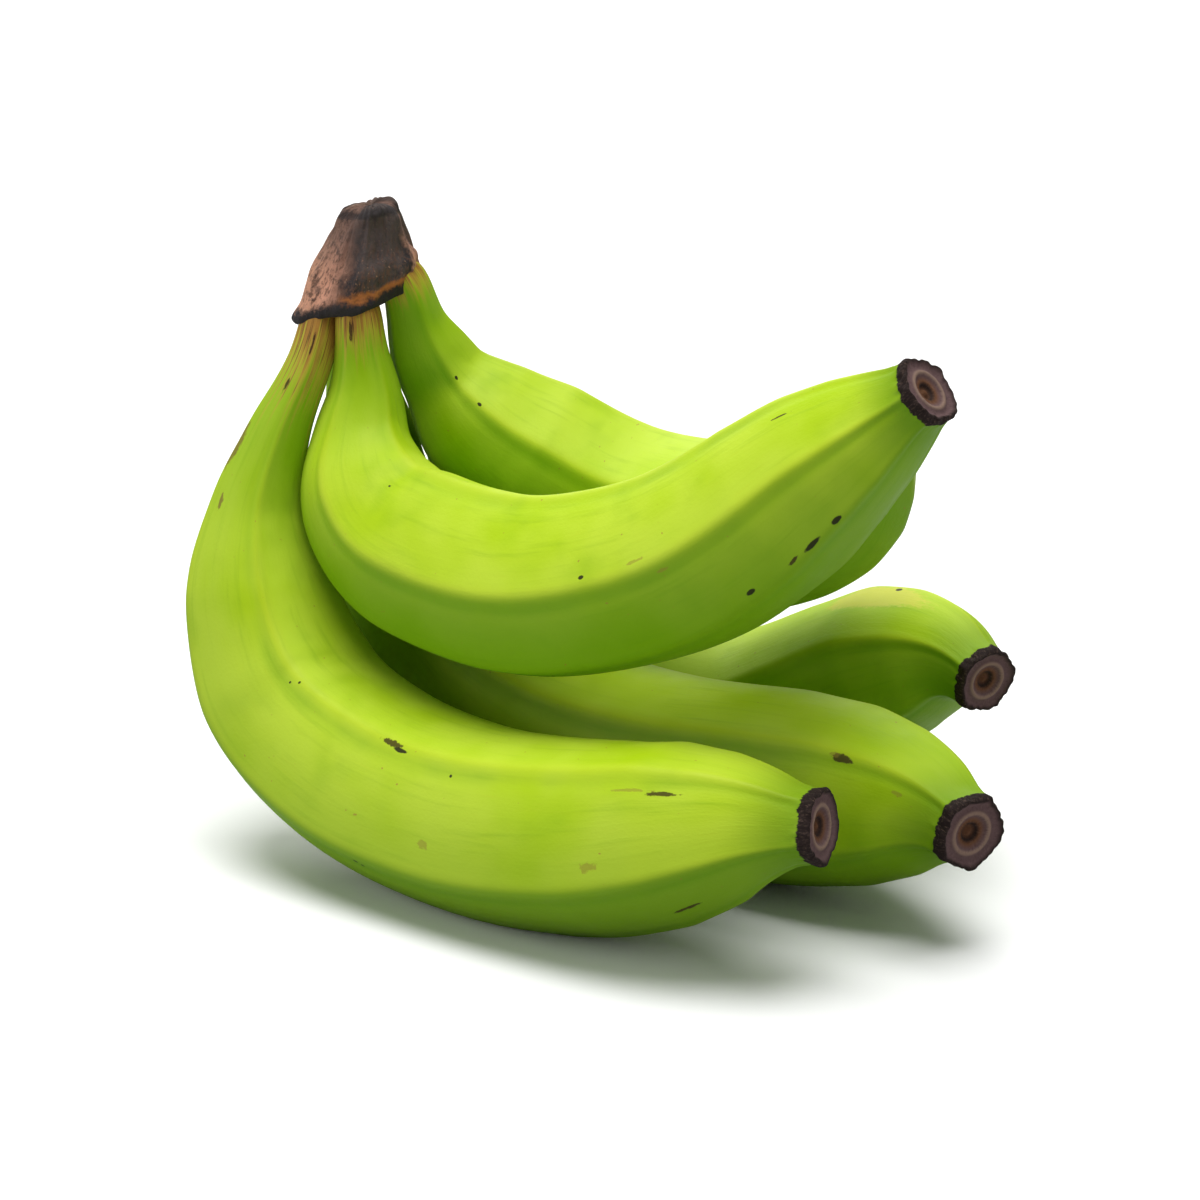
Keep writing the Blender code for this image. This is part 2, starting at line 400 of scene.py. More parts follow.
def lay_tube(tube, around, rings, heights, ridges=()):
    """Moves point k of ring j to rings[j][k], and writes heights[j] into the map as that ring's height."""
    segments = len(rings) - 1
    # The ridge and furrow values let the peel paint a highlight along each ridge and shade in the furrow
    # under it.
    on_ridge = tube.data.attributes.new("ridge", "FLOAT", "POINT").data
    in_furrow = tube.data.attributes.new("furrow", "FLOAT", "POINT").data
    for vertex in tube.data.vertices:
        ring, point = ring_and_side(vertex.co, around, segments)
        vertex.co = (rings[ring][point] - HAND_CENTRE) * MM
        if ridges:
            on_ridge[vertex.index].value = crest_at(360 * point / around, ridges)
            in_furrow[vertex.index].value = furrow_at(360 * point / around, ridges)
    for corner in tube.data.uv_layers[0].data:
        corner.uv.y = heights[round(corner.uv.y * segments)]


def close_and_smooth(tube, levels):
    """Collapses the tube's two open rings to points and applies a subdivision surface."""
    mesh = tube.data
    sharers = [0] * len(mesh.vertices)
    for edge in mesh.edges:
        for k in edge.vertices:
            sharers[k] += 1
    select_in(mesh, "VERT", lambda vertex: sharers[vertex.index] == 3)
    bpy.ops.mesh.merge(type="COLLAPSE")
    bpy.ops.object.mode_set(mode="OBJECT")
    smoothing = tube.modifiers.new("smoothing", "SUBSURF")
    smoothing.levels = smoothing.render_levels = levels
    bpy.ops.object.modifier_apply(modifier=smoothing.name)
    bpy.ops.object.shade_smooth()
    # How far each point faces up, from which the peel paints its painted shade on the faces turned down.
    facing_up = [vertex.normal.z for vertex in mesh.vertices]
    mesh.attributes.new("sunny", "FLOAT", "POINT").data.foreach_set("value", facing_up)


# %% The fruit
FRUIT = {
    "outer_near": {
        "calibre": 41,
        "neck": 0.22,
        "slimness": 1.02,
        "end": 1.03,
        "ridges": (48, 122, 194, 266, 338),
        "line": (
            (-67.3, -6.5, 115), (-66.4, -12.8, 101), (-70.3, -19.3, 85), (-72.4, -23.7, 69), (-69, -26.3, 50),
            (-57.2, -28.5, 31), (-35, -30.2, 21), (-5, -31, 18), (24, -30, 21.5), (46, -28, 27.5),
            (60, -26, 31.5), (73, -23, 33),
        ),
    },
    "outer_middle": {
        "calibre": 43,
        "neck": 0.20,
        "slimness": 1.30,
        "end": 1.0,
        "ridges": (34, 108, 180, 252, 324),
        "line": (
            (-73, 3, 115), (-73, 6, 101), (-72, 8, 85), (-69, 10, 67), (-62, 11, 48), (-48, 13, 31),
            (-25, 15, 20.5), (6, 16, 18.2), (36, 16, 21.5), (58, 16, 24.5), (72, 14, 26), (84, 10, 25),
        ),
    },
    "outer_far": {
        "calibre": 39,
        "neck": 0.22,
        "slimness": 1.0,
        "end": 1.0,
        "ridges": (34, 108, 180, 252, 324),
        "line": (
            (-63.3, 6.5, 120), (-64, 9.5, 115), (-67, 20, 101), (-69, 31, 86), (-66, 41, 68), (-58, 49, 48),
            (-45, 54, 30), (-27, 55, 18.8), (-7, 57, 17.5), (14, 58, 27), (33, 57, 38), (48, 54, 43),
            (60, 50, 41),
        ),
    },
    "inner_near": {
        "calibre": 40,
        "neck": 0.16,
        "slimness": 1.14,
        "end": 0.90,
        "ridges": (20, 92, 145, 220, 300),
        "line": (
            (-58, -8, 115), (-58, -7, 103), (-57, -7, 93), (-55.5, -9.5, 84), (-51, -12, 75),
            (-42.5, -13, 67.5), (-28, -12.5, 63.2), (-6, -11, 62), (12, -9, 66), (29, -6, 73), (42, -2, 82.5),
            (52, 1, 92), (63, 4, 101.5), (75, 5, 111),
        ),
    },
    "inner_far": {
        "calibre": 38,
        "neck": 0.18,
        "slimness": 1.28,
        "end": 1.0,
        "ridges": (30, 104, 178, 250, 322),
        "line": (
            (-57.6, 1.5, 120), (-55.2, 3, 115), (-55, 7, 104), (-53, 12, 94), (-46.5, 17.5, 84),
            (-36, 25, 75), (-21, 32, 67), (-4, 36, 65), (11, 37, 67), (23, 36, 73), (33, 34, 81),
            (42, 31, 89), (50, 27, 97),
        ),
    },
}
RIDGE_SHARE = 0.60  # 0 is a round body, 1 one with flat faces
CREST_HEIGHT = 0.30  # millimetres a ridge's raised line stands out
FURROW_SHARE = 0.6  # depth of the line under a ridge, as a share of the ridge's height
LUMP_SHARE = 0.014  # how far the body swells and shrinks, as a share of its radius
LUMP_SIZE = 28.0  # millimetres from one swelling to the next
RIM_TEAR = 0.8  # millimetres the stub's rim is torn in and out
ROUNDING = 3.0  # how fast the rings on the stub's face lose the corners of its rim
FOLD_DEPTH = 0.5  # millimetres of the folds where the neck widens into the body


def bend_normal(points):
    """The direction square to the plane in which a fruit bends."""
    first, middle, last = (Vector(points[k]) for k in (0, len(points) // 2, -1))
    return (middle - first).cross(last - middle).normalized()


def fruit_rings(calibre, neck, slimness, end, ridges, line, seed):
    """The fruit's rings of points, the map height of each ring, and the fruit's length."""
    places, length = places_along(line, body_shares)
    knots = thickness(neck, slimness, end)
    sideways = bend_normal(line)
    angles = [360 * k / AROUND for k in range(AROUND)]
    sections = [flat_sided(angle, ridges, RIDGE_POWER) for angle in angles]
    crests = [crest_at(angle, ridges) - FURROW_SHARE * furrow_at(angle, ridges) for angle in angles]
    rings, heights = [], []
    for j, (share, centre) in enumerate(zip(body_shares, places)):
        ahead = places[min(j + 1, BODY_SEGMENTS)] - places[max(j - 1, 0)]
        ahead.normalize()
        across = (sideways - ahead * sideways.dot(ahead)).normalized()
        inward = across.cross(ahead)
        radius = between(knots, share) * calibre / 2
        fullness = eased(0.3 * neck, neck + 0.1, share) * (1 - eased(0.985, 0.99, share))
        stub = eased(0.984, 0.992, share)
        folding = math.exp(-(((share - neck) / 0.035) ** 2))
        ring = []
        for angle, section, crest in zip(angles, sections, crests):
            turn = math.radians(angle)
            out = math.cos(turn) * inward + math.sin(turn) * across
            reach = radius * (1 - RIDGE_SHARE + RIDGE_SHARE * section)
            spot = centre + reach * out
            reach *= 1 + LUMP_SHARE * noise.noise(spot / LUMP_SIZE + seed)
            reach += CREST_HEIGHT * crest * fullness
            fold = noise.noise(Vector((angle / 40, share * 90, 0)) + seed)
            reach += FOLD_DEPTH * folding * max(0.0, math.cos(turn)) * fold
            reach += RIM_TEAR * stub * noise.noise(spot * 0.9 + seed)
            ring.append(centre + reach * out)
        rings.append(ring)
        heights.append(share)
    rim, centre = rings[-1], places[-1]
    mean = sum((point - centre).length for point in rim) / len(rim)
    for share, lift in FACE_RINGS:
        ring = []
        evened = min(1.0, ROUNDING * (1 - share))
        for corner in rim:
            out = corner - centre
            point = centre + out * (1 + evened * (mean / out.length - 1))
            rough = 0.12 * noise.noise(point * 1.3 + seed * share)
            ring.append(centre + (point - centre) * share + ahead * (lift + rough))
        rings.append(ring)
        heights.append(1 + FACE_SPAN * (1 - share))
    for ring in rings:  # the belly is pressed flat where it bears on the table
        for point in ring:
            point.z = max(point.z, 0.0)
    return rings, heights, length


fruit_pieces = {}
for count, (name, size) in enumerate(FRUIT.items()):
    fruit_seed = Vector((11.3, 4.7, 7.9)) * (count + 1)
    rings, heights, length = fruit_rings(**size, seed=fruit_seed)
    piece = ringed_tube("fruit_" + name, AROUND, len(rings) - 1)
    lay_tube(piece, AROUND, rings, heights, size["ridges"])
    close_and_smooth(piece, 1)
    fruit_pieces[name] = piece
    print(piece.name, "is", round(length), "mm long, with", len(piece.data.polygons), "faces")

# %% [markdown]
# ## The dried crown
# The crown is the cushion that held the hand to the stalk. It dries to cork within days of being cut: it
# shrinks on to the necks in lobes, its sides collapse into flat fibrous faces, and its tilted foot curls.
# A rough rock from a displaced sphere would lose those faces and the lobes. So it is another tube of
# rings, from the middle of its underside, out over the curled edge, up its sides, and in over the cut top.

# %% Crown
CROWN_AROUND = 120
CROWN_CENTRE = Vector((-64.0, 0.0, 0.0))
CROWN_LEAN = Vector((2.0, 1.0, 0.0))  # how far the cut top stands from the middle of the underside
CROWN_FOOT = 110.0
CROWN_HEAD = 131.5
CROWN_TILT = math.radians(54)  # the direction in which the foot of the crown rises
CROWN_TILT_SLOPE = 0.31  # rise of the foot for each millimetre in that direction
CROWN_FOOT_LIFT = 2.6  # millimetres the middle of the foot stands over the lowest level
CROWN_CORNERS = (5, 70, 130, 190, 250, 310)  # degrees, where two of its dried faces meet
CROWN_LOBES = {  # a neck's direction, how far its lobe reaches out and how low it hangs
    -116: (3.2, 0.8),
    -53: (2.2, 0.7),
    18: (0.5, 0.2),
    90: (0.7, 0.3),
    162: (2.2, 0.7),
}
LOBE_WIDTH = 26  # degrees
CROWN_RINGS = (  # height, mean radius, share of the lobes' reach, share of flatness, map height
    (113.5, 1.0, 0.0, 0.0, -0.30),
    (113.0, 4.6, 0.2, 0.0, -0.22),
    (111.6, 8.0, 0.5, 0.2, -0.14),
    (110.0, 10.4, 0.9, 0.35, -0.07),
    (109.4, 11.4, 1.0, 0.45, -0.03),
    (109.6, 11.9, 1.0, 0.5, 0.0),
    (110.4, 12.1, 1.0, 0.5, 0.04),
    (111.4, 12.1, 1.0, 0.55, 0.08),
    (112.5, 12.0, 0.9, 0.6, 0.12),
    (114.0, 11.7, 0.8, 0.65, 0.2),
    (116.0, 11.3, 0.7, 0.7, 0.3),
    (118.0, 10.4, 0.6, 0.75, 0.4),
    (120.0, 9.4, 0.5, 0.8, 0.5),
    (122.5, 8.2, 0.4, 0.8, 0.6),
    (125.0, 7.3, 0.4, 0.85, 0.7),
    (127.0, 6.9, 0.3, 0.85, 0.8),
    (128.6, 6.6, 0.3, 0.85, 0.9),
    (129.5, 6.2, 0.2, 0.85, 0.96),
    (130.2, 5.7, 0.2, 0.8, 1.0),
    (130.7, 4.7, 0.2, 0.7, 1.06),
    (131.0, 3.8, 0.1, 0.6, 1.12),
    (131.1, 2.7, 0.1, 0.4, 1.2),
    (131.0, 1.6, 0.0, 0.2, 1.3),
    (130.9, 0.3, 0.0, 0.0, 1.4),
)
TOP_RISE = 0.9  # millimetres the cut top rises towards one side
TOP_RISE_TURN = math.radians(60)


def crown_rings():
    """The crown's rings of points and the map height of each ring."""
    rings, heights = [], []
    for level, mean, lobe, flatness, height in CROWN_RINGS:
        lean = min(max((level - CROWN_FOOT) / (CROWN_HEAD - CROWN_FOOT), 0.0), 1.0)
        side_share = eased(-0.1, 0.1, height) * (1 - 0.6 * eased(0.95, 1.1, height))
        ring = []
        for k in range(CROWN_AROUND):
            angle = 360 * k / CROWN_AROUND
            turn = math.radians(angle)
            out = Vector((math.cos(turn), math.sin(turn), 0.0))
            reach = mean * (1 - flatness + flatness * 1.06 * flat_sided(angle, CROWN_CORNERS, 28))
            hang = 0.0
            for direction, (overhang, drop) in CROWN_LOBES.items():
                nearness = math.exp(-(((angle - direction + 180) % 360 - 180) / LOBE_WIDTH) ** 2)
                reach += lobe * overhang * nearness
                hang += drop * nearness * (1 - eased(-0.05, 0.35, height))
            # Fibres run from the top to the foot, lumps are round, and the smallest grain is crumbly.
            fibres = noise.noise(Vector((angle / 5.5, level / 9, 3.1)))
            lumps = noise.noise(out * mean / 4.5 + Vector((0, 0, level / 5)))
            grain = noise.noise(out * mean * 1.1 + Vector((0, 0, level * 1.1)))
            reach += side_share * (0.8 * fibres + 1.1 * lumps + 0.4 * grain)
            crest = eased(0.9, 1.05, height) * (TOP_RISE * math.cos(turn - TOP_RISE_TURN) + 0.7 * fibres)
            tilt = CROWN_FOOT_LIFT + CROWN_TILT_SLOPE * reach * math.cos(turn - CROWN_TILT)
            rise = 0.8 * lumps + crest - hang + (1 - lean) * tilt
            ring.append(CROWN_CENTRE + lean * CROWN_LEAN + out * reach + Vector((0, 0, level + rise)))
        rings.append(ring)
        heights.append(height)
    return rings, heights


rings, heights = crown_rings()
# The primitive's first point lies a quarter turn on from the X axis, so the rings' points start there too.
rings = [ring[CROWN_AROUND // 4:] + ring[:CROWN_AROUND // 4] for ring in rings]
crown_piece = ringed_tube("dried_crown_skin", CROWN_AROUND, len(rings) - 1)
lay_tube(crown_piece, CROWN_AROUND, rings, heights)
close_and_smooth(crown_piece, 2)
print(crown_piece.name, "has", len(crown_piece.data.polygons), "faces")

# %% [markdown]
# ## Tools for the node materials
# The skins are built from nodes in code, so a few short helpers add a node, set it and wire it. An effect
# that several materials share is a node group with named sockets, made once and placed with its own
# values.

# %% Node helpers


def wire(tree, value, socket):
    """Links an output to a socket, or sets the socket to a number or a tuple."""
    if isinstance(value, bpy.types.NodeSocket):
        tree.links.new(value, socket)
    else:
        socket.default_value = value


def calculate(tree, operation, first, second=0.0, clamp=False):
    """A Math node's result."""
    node = tree.nodes.new("ShaderNodeMath")
    node.operation = operation
    node.use_clamp = clamp
    wire(tree, first, node.inputs[0])
    wire(tree, second, node.inputs[1])
    return node.outputs[0]


def step_up(tree, value, low, high):
    """0 below low and 1 above high, smooth between them."""
    node = tree.nodes.new("ShaderNodeMapRange")
    node.interpolation_type = "SMOOTHSTEP"
    wire(tree, value, node.inputs["Value"])
    wire(tree, low, node.inputs["From Min"])
    wire(tree, high, node.inputs["From Max"])
    return node.outputs["Result"]


def cloud(tree, vector, scale, detail=2.0, roughness=0.5, seed=0.0):
    """A noise texture's value, about 0.5 on average."""
    node = tree.nodes.new("ShaderNodeTexNoise")
    node.noise_dimensions = "4D"
    node.inputs["Scale"].default_value = scale
    node.inputs["Detail"].default_value = detail
    node.inputs["Roughness"].default_value = roughness
    wire(tree, vector, node.inputs["Vector"])
    wire(tree, seed, node.inputs["W"])
    return node.outputs["Fac"]


def swing(tree, noise_value, size):
    """A noise value about 0.5 turned into one about 0, times a size."""
    return calculate(tree, "MULTIPLY", calculate(tree, "SUBTRACT", noise_value, 0.5), size)


def blend_colours(tree, share, first, second):
    """first where share is 0 and second where it is 1."""
    node = tree.nodes.new("ShaderNodeMix")
    node.data_type = "RGBA"
    wire(tree, share, node.inputs["Factor"])
    wire(tree, first, node.inputs["A"])
    wire(tree, second, node.inputs["B"])
    return node.outputs["Result"]


def tinted(tree, colour, mask, strength, tint):
    """The colour, with the tint laid over it at a strength where the mask is 1."""
    return blend_colours(tree, calculate(tree, "MULTIPLY", mask, strength), colour, tint)


def colour_steps(tree, share, steps):
    """A colour ramp through (place, colour) steps."""
    node = tree.nodes.new("ShaderNodeValToRGB")
    ramp = node.color_ramp
    while len(ramp.elements) < len(steps):
        ramp.elements.new(0.5)
    for element, (place, colour) in zip(ramp.elements, steps):
        element.position = place
        element.color = colour
    wire(tree, share, node.inputs["Fac"])
    return node.outputs["Color"]


def new_effect(name, inputs, outputs):
    """An empty node group with these sockets, its input node's outputs and its output node's inputs."""
    effect = bpy.data.node_groups.new(name, "ShaderNodeTree")
    for direction, sockets in (("INPUT", inputs), ("OUTPUT", outputs)):
        for label, kind in sockets:
            effect.interface.new_socket(name=label, in_out=direction, socket_type="NodeSocket" + kind)
    entry = effect.nodes.new("NodeGroupInput")
    leaving = effect.nodes.new("NodeGroupOutput")
    return effect, entry.outputs, leaving.inputs


def place_effect(tree, effect, **values):
    """A node group in a material, its sockets wired by name, with _ for a space. Returns its outputs."""
    node = tree.nodes.new("ShaderNodeGroup")
    node.node_tree = effect
    for label, value in values.items():
        wire(tree, value, node.inputs[label.replace("_", " ")])
    return node.outputs


def srgb(red, green, blue):
    """A colour given as it looks on a screen, 0 to 255, as the linear one a shader needs."""
    parts = [x / 255 for x in (red, green, blue)]
    return tuple(x / 12.92 if x <= 0.04045 else ((x + 0.055) / 1.055) ** 2.4 for x in parts) + (1.0,)


print("sRGB 128 grey is linear", round(srgb(128, 128, 128)[0], 3))

# %% [markdown]
# ## Where a pattern sits on the skin
# The map's u runs round the fruit and would leave a seam where 1 meets 0. So the map is rolled back into a
# cylinder inside the nodes: u becomes a direction on a circle, and v a height. Noise read on that cylinder
# has no seam, and squeezing the height makes it run lengthwise, as the fibres of a peel do.

# %% Rolled map
ROLL_RADIUS = 2.0  # centimetres, about a fruit's own
ROLL_LENGTH = 21.0  # centimetres
FIBRE_LENGTH = 1.6  # the same length squeezed, for patterns that run along the fruit

rolled_map, given, made = new_effect(
    "rolled_map",
    [("Map", "Vector")],
    [("Round", "Float"), ("Along", "Float"), ("Skin", "Vector"), ("Fibres", "Vector")],
)
parts = rolled_map.nodes.new("ShaderNodeSeparateXYZ")
rolled_map.links.new(given["Map"], parts.inputs[0])
turn = calculate(rolled_map, "MULTIPLY", parts.outputs["X"], math.tau)
across = calculate(rolled_map, "MULTIPLY", calculate(rolled_map, "COSINE", turn), ROLL_RADIUS)
deep = calculate(rolled_map, "MULTIPLY", calculate(rolled_map, "SINE", turn), ROLL_RADIUS)
for label, stretch in (("Skin", ROLL_LENGTH), ("Fibres", FIBRE_LENGTH)):
    joined = rolled_map.nodes.new("ShaderNodeCombineXYZ")
    rolled_map.links.new(across, joined.inputs["X"])
    rolled_map.links.new(deep, joined.inputs["Y"])
    rolled_map.links.new(calculate(rolled_map, "MULTIPLY", parts.outputs["Y"], stretch), joined.inputs["Z"])
    rolled_map.links.new(joined.outputs[0], made[label])
rolled_map.links.new(parts.outputs["X"], made["Round"])
rolled_map.links.new(parts.outputs["Y"], made["Along"])
print(rolled_map.name, "puts out", [socket.name for socket in made if socket.name])

# %% [markdown]
# ## Marks
# Every hand is bruised a little on its way from the plantation, nearly always on the ridges: short brown
# scuffs, black specks, a faint rub. They could be painted on an image, but then they would blur close up.
# A small node group makes one mark at a given place on the map, with a ragged edge, and returns its mask.

# %% One mark
one_mark, given, made = new_effect(
    "one_mark",
    [("Round", "Float"), ("Along", "Float"), ("Skin", "Vector"), ("At Round", "Float"), ("At Along", "Float"),
     ("Half Width", "Float"), ("Half Length", "Float"), ("Ragged", "Float")],
    [("Mask", "Float")],
)
sideways = calculate(one_mark, "SUBTRACT", given["Round"], given["At Round"])
wrapped = calculate(one_mark, "PINGPONG", sideways, 0.5)
wide = calculate(one_mark, "DIVIDE", wrapped, given["Half Width"])
lengthwise = calculate(one_mark, "SUBTRACT", given["Along"], given["At Along"])
long = calculate(one_mark, "DIVIDE", lengthwise, given["Half Length"])
squares = calculate(one_mark, "ADD", calculate(one_mark, "MULTIPLY", wide, wide),
                    calculate(one_mark, "MULTIPLY", long, long))
distance = calculate(one_mark, "SQRT", squares)
crumbs = calculate(one_mark, "SUBTRACT", cloud(one_mark, given["Skin"], 7.0, 4.0, 0.7), 0.5)
torn = calculate(one_mark, "ADD", distance, calculate(one_mark, "MULTIPLY", crumbs, given["Ragged"]))
one_mark.links.new(step_up(one_mark, torn, 1.0, 0.7), made["Mask"])
print(one_mark.name, "has", len(one_mark.nodes), "nodes")

# %% [markdown]
# ## The green peel
# Unripe peel is a waxy lime green that is never even: greener in the hollows and at the tip, faintly
# streaked along its fibres, cloudy at a scale of centimetres, and stained yellow and brown where the neck
# comes out of the crown. Over that the colour carries painted light: a painted highlight of pale yellow
# along each ridge, a line of painted shade in deeper green just under it, and painted shade in deeper green
# on the faces turned to the ground and along the neck. One group makes that colour, with the shine and the
# fine relief that belong to it, and each fruit places it with its own seed, paleness and stain.

# %% Green peel
LIME = srgb(172, 206, 8)
PALE_LIME = srgb(190, 217, 54)
DEEP_GREEN = srgb(120, 168, 2)
# Pale yellow of the fine fibres, also used as a painted highlight along each ridge.
FIBRE_AND_HIGHLIGHT_YELLOW = srgb(190, 206, 44)
SHADE_GREEN = srgb(92, 148, 0)
NECK_YELLOW = srgb(188, 168, 58)
NECK_BROWN = srgb(158, 106, 50)
STREAK_BROWN = srgb(84, 56, 30)

HOLLOW_TINT = 0.3  # how strongly each of these is laid over the peel
FIBRE_TINT = 0.35
FINE_FIBRE_TINT = 0.25
# The ridge tint lays a painted highlight; the furrow, shade and neck tints lay painted shade.
RIDGE_HIGHLIGHT_TINT = 0.40
FURROW_SHADE_TINT = 0.5
SHADE_TINT = 0.75
NECK_SHADE_TINT = 0.55
STAIN_TINT = 0.9
BROWN_TINT = 0.85
FRECKLE_TINT = 0.6
FRAYING = 2.2  # how far the fibres carry the neck's stain down the fruit
PEEL_ROUGHNESS = 0.42
ROUGHNESS_RANGE = 0.22
FIBRE_RELIEF = 0.5
PORE_RELIEF = 0.35

green_peel, given, made = new_effect(
    "green_peel",
    [("Along", "Float"), ("Skin", "Vector"), ("Fibres", "Vector"), ("Seed", "Float"), ("Paleness", "Float"),
     ("Stain", "Float"), ("Neck", "Float"), ("Sunny", "Float"), ("Ridge", "Float"), ("Furrow", "Float")],
    [("Colour", "Color"), ("Roughness", "Float"), ("Height", "Float")],
)
tree = green_peel
seed = given["Seed"]
clouds = cloud(tree, given["Skin"], 0.45, 2.0, 0.5, seed)
paler = calculate(tree, "ADD", clouds, calculate(tree, "SUBTRACT", given["Paleness"], 0.5))
colour = blend_colours(tree, step_up(tree, paler, 0.35, 0.7), LIME, PALE_LIME)
hollows = step_up(tree, cloud(tree, given["Skin"], 0.8, 2.0, 0.5, seed), 0.5, 0.8)
colour = tinted(tree, colour, hollows, HOLLOW_TINT, DEEP_GREEN)
fibres = cloud(tree, given["Fibres"], 5.0, 4.0, 0.6, seed)
fine_fibres = cloud(tree, given["Fibres"], 16.0, 3.0, 0.6, seed)
colour = tinted(tree, colour, step_up(tree, fibres, 0.5, 0.8), FIBRE_TINT, DEEP_GREEN)
colour = tinted(tree, colour, step_up(tree, fine_fibres, 0.55, 0.8), FINE_FIBRE_TINT, FIBRE_AND_HIGHLIGHT_YELLOW)
# Painted highlight: a pale yellow line along each ridge.
colour = tinted(tree, colour, given["Ridge"], RIDGE_HIGHLIGHT_TINT, FIBRE_AND_HIGHLIGHT_YELLOW)
# Painted shade: a deeper green line in the furrow just under each ridge, broken up by the clouds.
furrow_shade = calculate(tree, "MULTIPLY", given["Furrow"], step_up(tree, clouds, 0.3, 0.6))
colour = tinted(tree, colour, furrow_shade, FURROW_SHADE_TINT, DEEP_GREEN)
# Painted shade: faces that turn towards the ground are painted a deeper green.
colour = tinted(tree, colour, step_up(tree, given["Sunny"], 0.55, -0.45), SHADE_TINT, SHADE_GREEN)
# Painted shade: the neck is painted a deeper green towards the crown.
neck_share = calculate(tree, "DIVIDE", given["Along"], given["Neck"])
colour = tinted(tree, colour, step_up(tree, neck_share, 1.5, 0.5), NECK_SHADE_TINT, DEEP_GREEN)
stain_share = calculate(tree, "DIVIDE", given["Along"], given["Stain"])
frayed = calculate(tree, "ADD", stain_share, swing(tree, fibres, FRAYING))
colour = tinted(tree, colour, step_up(tree, frayed, 1.15, 0.5), STAIN_TINT, NECK_YELLOW)
colour = tinted(tree, colour, step_up(tree, frayed, 0.75, 0.3), BROWN_TINT, NECK_BROWN)
on_streak = step_up(tree, fine_fibres, 0.52, 0.64)
dark_streaks = calculate(tree, "MULTIPLY", on_streak, step_up(tree, frayed, 1.0, 0.4))
colour = blend_colours(tree, dark_streaks, colour, STREAK_BROWN)
freckles = step_up(tree, cloud(tree, given["Skin"], 9.0, 1.0, 0.5, seed), 0.76, 0.80)
colour = tinted(tree, colour, freckles, FRECKLE_TINT, NECK_BROWN)
tree.links.new(colour, made["Colour"])
shine = calculate(tree, "MULTIPLY_ADD", cloud(tree, given["Skin"], 2.0, 3.0, 0.6, seed), ROUGHNESS_RANGE)
shine.node.inputs[2].default_value = PEEL_ROUGHNESS
tree.links.new(shine, made["Roughness"])
pores = cloud(tree, given["Skin"], 14.0, 2.0, 0.5, seed)
raised_fibres = calculate(tree, "MULTIPLY", fibres, FIBRE_RELIEF)
relief = calculate(tree, "ADD", raised_fibres, calculate(tree, "MULTIPLY", pores, PORE_RELIEF))
tree.links.new(relief, made["Height"])
print(green_peel.name, "has", len(green_peel.nodes), "nodes")

# %% [markdown]
# ## The dried tip
# The stub at the far end is where the flower dropped off. It is dark purple-brown cork with a black, torn
# edge against the green, a paler ring on its face and a brown pit in the middle. The map's height says
# where on the stub a point is: below 1 on its side, and above 1 on its face, so ramps on that height paint
# it.

# %% Dried tip
TIP_START = 0.989
TIP_BLUR = 0.0008  # half the width of the edge between peel and cork, as shares of the length
TIP_TEAR = 0.010  # how far that edge is torn
DUSK_TINT = 0.7
CORK_ROUGHNESS = 0.85
CORK_RELIEF = 2.5
TIP_BLACK = srgb(38, 28, 26)
TIP_PURPLE = srgb(102, 80, 80)
TIP_PALE = srgb(140, 116, 102)
TIP_BROWN = srgb(108, 72, 48)
TIP_GREEN = srgb(96, 140, 6)

dried_tip, given, made = new_effect(
    "dried_tip",
    [("Along", "Float"), ("Skin", "Vector"), ("Colour", "Color"), ("Roughness", "Float"), ("Height", "Float"),
     ("Seed", "Float")],
    [("Colour", "Color"), ("Roughness", "Float"), ("Height", "Float")],
)
tree = dried_tip
tears = cloud(tree, given["Skin"], 3.2, 4.0, 0.7, given["Seed"])
torn_along = calculate(tree, "ADD", given["Along"], swing(tree, tears, TIP_TEAR))
dusk = step_up(tree, given["Along"], 0.93, 0.99)
colour = tinted(tree, given["Colour"], dusk, DUSK_TINT, TIP_GREEN)
grain = cloud(tree, given["Skin"], 12.0, 5.0, 0.7, given["Seed"])
face = calculate(tree, "DIVIDE", calculate(tree, "SUBTRACT", given["Along"], 1.0), FACE_SPAN)
wavy_face = calculate(tree, "ADD", face, swing(tree, grain, 0.10))
bark = colour_steps(tree, wavy_face, [
    (0.0, TIP_BLACK), (0.07, TIP_BLACK), (0.16, TIP_PURPLE), (0.34, TIP_PURPLE), (0.40, TIP_PALE),
    (0.46, TIP_PALE), (0.52, TIP_PURPLE), (0.66, TIP_BROWN), (0.76, TIP_BLACK), (0.9, TIP_BROWN),
])
bark = tinted(tree, bark, step_up(tree, grain, 0.52, 0.72), 0.5, TIP_BLACK)
bark = tinted(tree, bark, step_up(tree, grain, 0.5, 0.3), 0.35, TIP_PALE)
dried = step_up(tree, torn_along, TIP_START - TIP_BLUR, TIP_START + TIP_BLUR)
tree.links.new(blend_colours(tree, dried, colour, bark), made["Colour"])
rough = tree.nodes.new("ShaderNodeMix")
wire(tree, dried, rough.inputs["Factor"])
wire(tree, given["Roughness"], rough.inputs["A"])
wire(tree, CORK_ROUGHNESS, rough.inputs["B"])
tree.links.new(rough.outputs["Result"], made["Roughness"])
crumbs = calculate(tree, "MULTIPLY", calculate(tree, "MULTIPLY", grain, dried), CORK_RELIEF)
relief = calculate(tree, "ADD", given["Height"], crumbs)
tree.links.new(relief, made["Height"])
print(dried_tip.name, "starts at", TIP_START, "of a fruit's length")

# %% [markdown]
# ## A skin for each fruit
# The five fruit share the groups above and differ in their own values and marks. A mark is a place round
# and along the fruit, its half width and half length in shares of the map, and what kind of mark it is.

